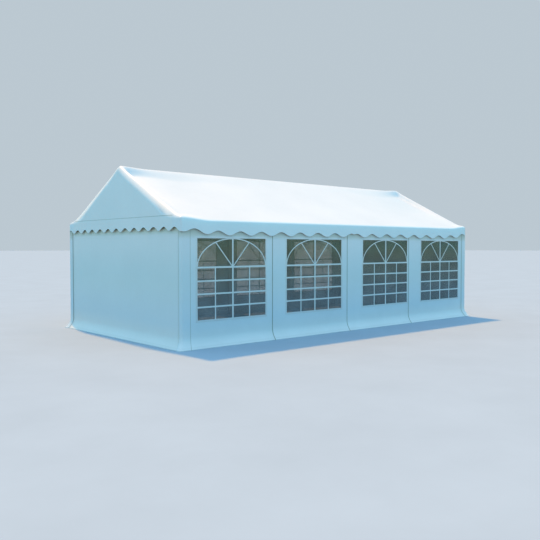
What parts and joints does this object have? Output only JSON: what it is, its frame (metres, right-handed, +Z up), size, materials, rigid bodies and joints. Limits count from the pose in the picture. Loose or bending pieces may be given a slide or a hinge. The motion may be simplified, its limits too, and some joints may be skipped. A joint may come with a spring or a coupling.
{
  "type": "marquee tent",
  "caption": "Rectangular marquee tent with a pitched cloth roof, scalloped valance, flared cloth walls and clear windows along both long sides.",
  "frame": {"origin": "on the ground at the middle of the floor", "axes": "+X along the length, -Y towards the front long side that the picture shows, +Z up; the end that the picture shows faces -X"},
  "size_m": [8.18, 4.1782, 3.109],
  "materials": {
    "cover_cloth": "white coated cloth, satin",
    "wall_cloth": "white coated cloth, satin",
    "window_film": "clear soft film, glossy",
    "frame_steel": "galvanised, satin"
  },
  "bodies": {
    "root": {"leg_front_1": "frame_steel", "leg_front_2": "frame_steel", "leg_front_3": "frame_steel", "leg_front_4": "frame_steel", "leg_front_5": "frame_steel", "leg_back_1": "frame_steel", "leg_back_2": "frame_steel", "leg_back_3": "frame_steel", "leg_back_4": "frame_steel", "leg_back_5": "frame_steel", "roof_frame_1": "frame_steel", "roof_frame_2": "frame_steel", "roof_frame_3": "frame_steel", "roof_frame_4": "frame_steel", "roof_frame_5": "frame_steel", "ridge_purlin_1": "frame_steel", "ridge_purlin_2": "frame_steel", "ridge_purlin_3": "frame_steel", "ridge_purlin_4": "frame_steel", "front_eave_purlin_1": "frame_steel", "front_eave_purlin_2": "frame_steel", "front_eave_purlin_3": "frame_steel", "front_eave_purlin_4": "frame_steel", "back_eave_purlin_1": "frame_steel", "back_eave_purlin_2": "frame_steel", "back_eave_purlin_3": "frame_steel", "back_eave_purlin_4": "frame_steel", "roof_panel_front": "cover_cloth", "valance_front": "cover_cloth", "roof_panel_back": "cover_cloth", "valance_back": "cover_cloth", "gable_edge_front_left": "cover_cloth", "gable_edge_front_right": "cover_cloth", "gable_edge_back_left": "cover_cloth", "gable_edge_back_right": "cover_cloth", "gable_panel_left": "cover_cloth", "gable_panel_right": "cover_cloth", "wall_front_1": "wall_cloth", "wall_front_2": "wall_cloth", "wall_front_3": "wall_cloth", "wall_front_4": "wall_cloth", "wall_back_1": "wall_cloth", "wall_back_2": "wall_cloth", "wall_back_3": "wall_cloth", "wall_back_4": "wall_cloth", "end_wall_left": "wall_cloth", "end_wall_right": "wall_cloth", "window_front_1": "window_film", "window_front_2": "window_film", "window_front_3": "window_film", "window_front_4": "window_film", "window_back_1": "window_film", "window_back_2": "window_film", "window_back_3": "window_film", "window_back_4": "window_film"}
  },
  "joints": []
}
